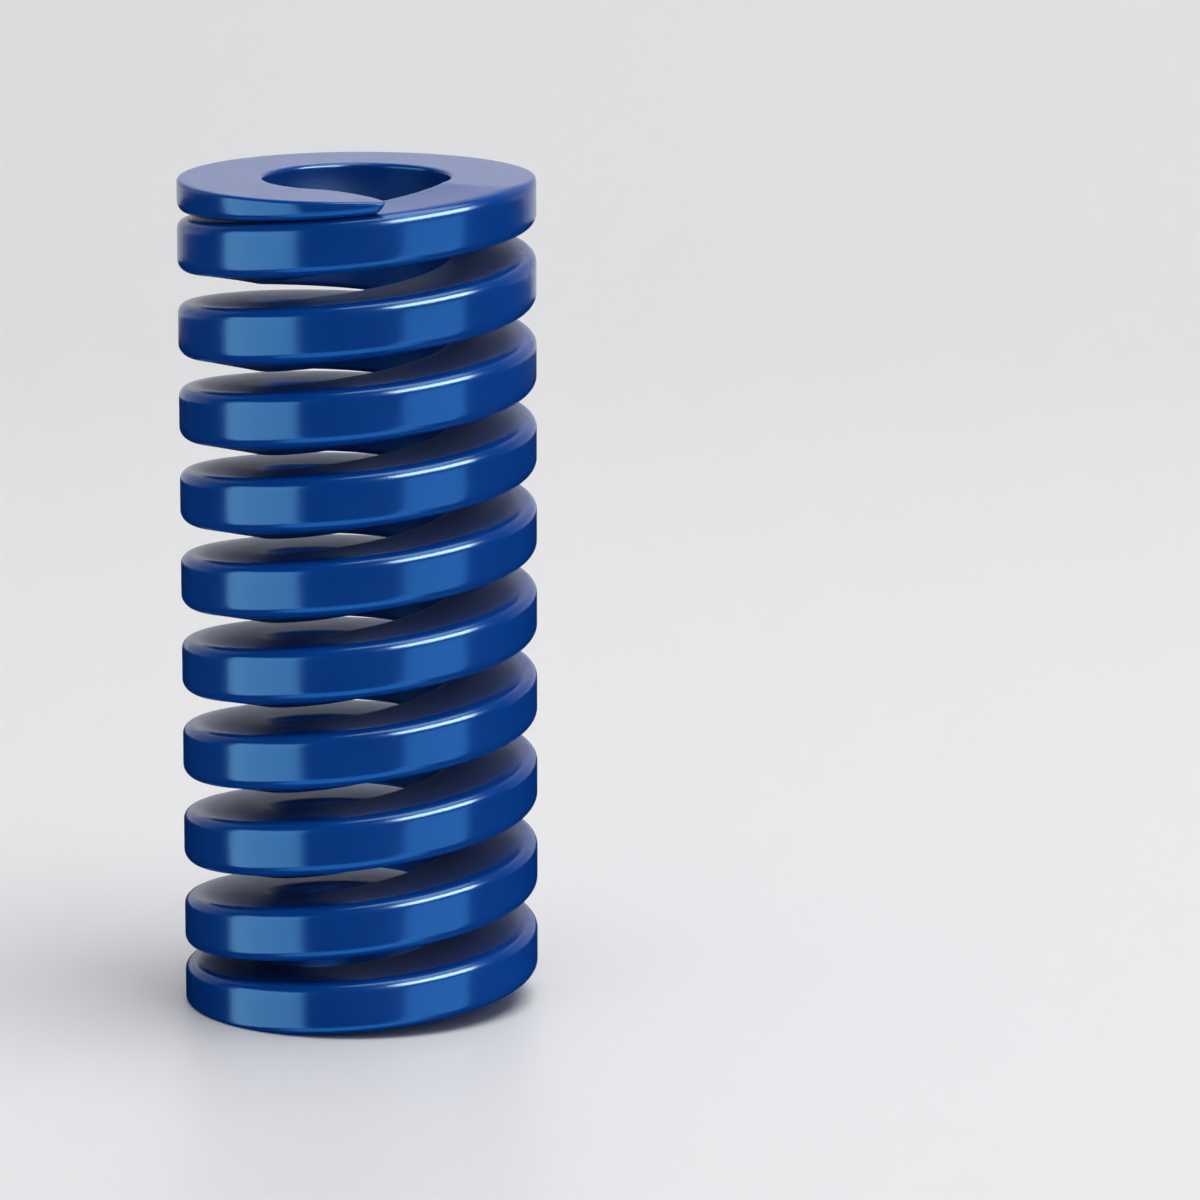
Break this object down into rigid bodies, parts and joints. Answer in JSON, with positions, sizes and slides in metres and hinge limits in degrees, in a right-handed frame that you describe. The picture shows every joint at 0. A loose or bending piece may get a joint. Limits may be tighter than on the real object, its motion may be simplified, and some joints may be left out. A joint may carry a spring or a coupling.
{
  "type": "die spring",
  "caption": "Right-hand helical compression spring of heavy flattened wire with closed, ground ends, enamelled blue, that fits in a round pocket and over a guide rod.",
  "frame": {"origin": "centre of the lower ground end, on the spring's axis", "axes": "+Z along the spring's axis, from the lower ground end to the upper one; -Y towards the side where the upper end's tip lies"},
  "size_m": [0.049, 0.049, 0.115],
  "materials": {
    "blue_enamel": "gloss"
  },
  "bodies": {
    "root": {"spring": "blue_enamel"}
  },
  "joints": []
}
